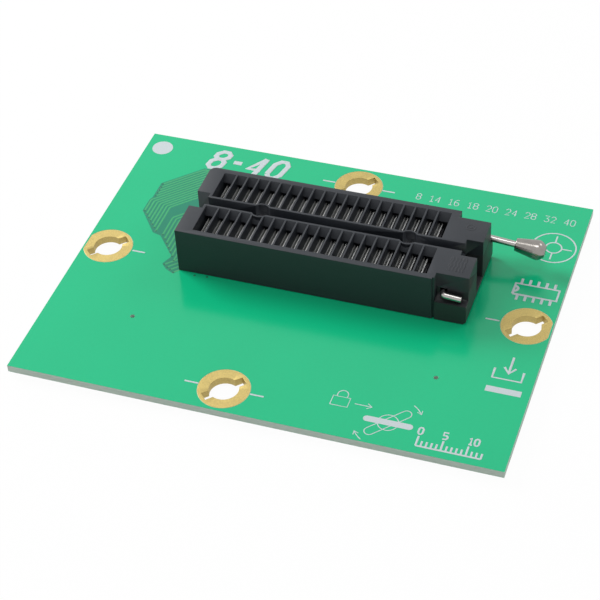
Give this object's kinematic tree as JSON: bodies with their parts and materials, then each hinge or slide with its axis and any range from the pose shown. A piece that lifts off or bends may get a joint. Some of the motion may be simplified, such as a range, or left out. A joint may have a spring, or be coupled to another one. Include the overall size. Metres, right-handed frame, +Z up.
{
  "type": "zif socket card",
  "caption": "Green printed card with a black lever-operated zero-insertion-force socket and gold-plated keyed clip holes.",
  "frame": {"origin": "bottom centre of the bounding box: below the middle of the card, at the tips of the solder joints", "axes": "+X along the card's long side towards the lever's knob, +Y towards the card's rear edge, +Z up, away from the card on the socket's side"},
  "size_m": [0.1048, 0.0812, 0.014],
  "materials": {
    "laminate": "woven glass-epoxy, pale cut edge",
    "solder_mask": "semi-gloss green film",
    "gold": "immersion gold on copper",
    "solder": "bright tin solder",
    "base_plastic": "moulded black, fine grain",
    "cover_plastic": "moulded black, fine grain",
    "slider_plastic": "moulded dark grey",
    "screw_steel": "zinc-plated steel",
    "contact": "plated spring bronze",
    "wire_steel": "drawn spring steel wire",
    "knob_steel": "turned and nickel-plated"
  },
  "bodies": {
    "socket_card": {"card_laminate": "laminate", "mask_top": "solder_mask", "mask_bottom": "solder_mask", "clip_ring_left": "gold", "clip_ring_right": "gold", "clip_ring_rear": "gold", "clip_ring_front": "gold", "plated_holes": "gold", "underside_lands": "gold", "solder_front": "solder", "solder_rear": "solder", "socket_base": "base_plastic", "socket_cover": "cover_plastic", "screw_left": "screw_steel", "screw_right": "screw_steel", "fixed_blades_front": "contact", "fixed_blades_rear": "contact", "spring_blades_front": "contact", "spring_blades_rear": "contact"},
    "slider": {"slider_comb": "slider_plastic"},
    "lever": {"lever_wire": "wire_steel", "lever_knob": "knob_steel"}
  },
  "joints": [
    {"name": "lever_hinge", "type": "hinge", "parent": "socket_card", "child": "lever", "pos_m": [0.0296, 0.00803, 0.00925], "axis": [0, -1, 0], "range_deg": [0, 95]},
    {"name": "slider_slide", "type": "slide", "parent": "socket_card", "child": "slider", "axis": [1, 0, 0], "range_m": [0, 0.00075]}
  ],
  "couplings": [
    {"joint": "slider_slide", "follows": "lever_hinge", "m_per_rad": 0.00045234}
  ]
}
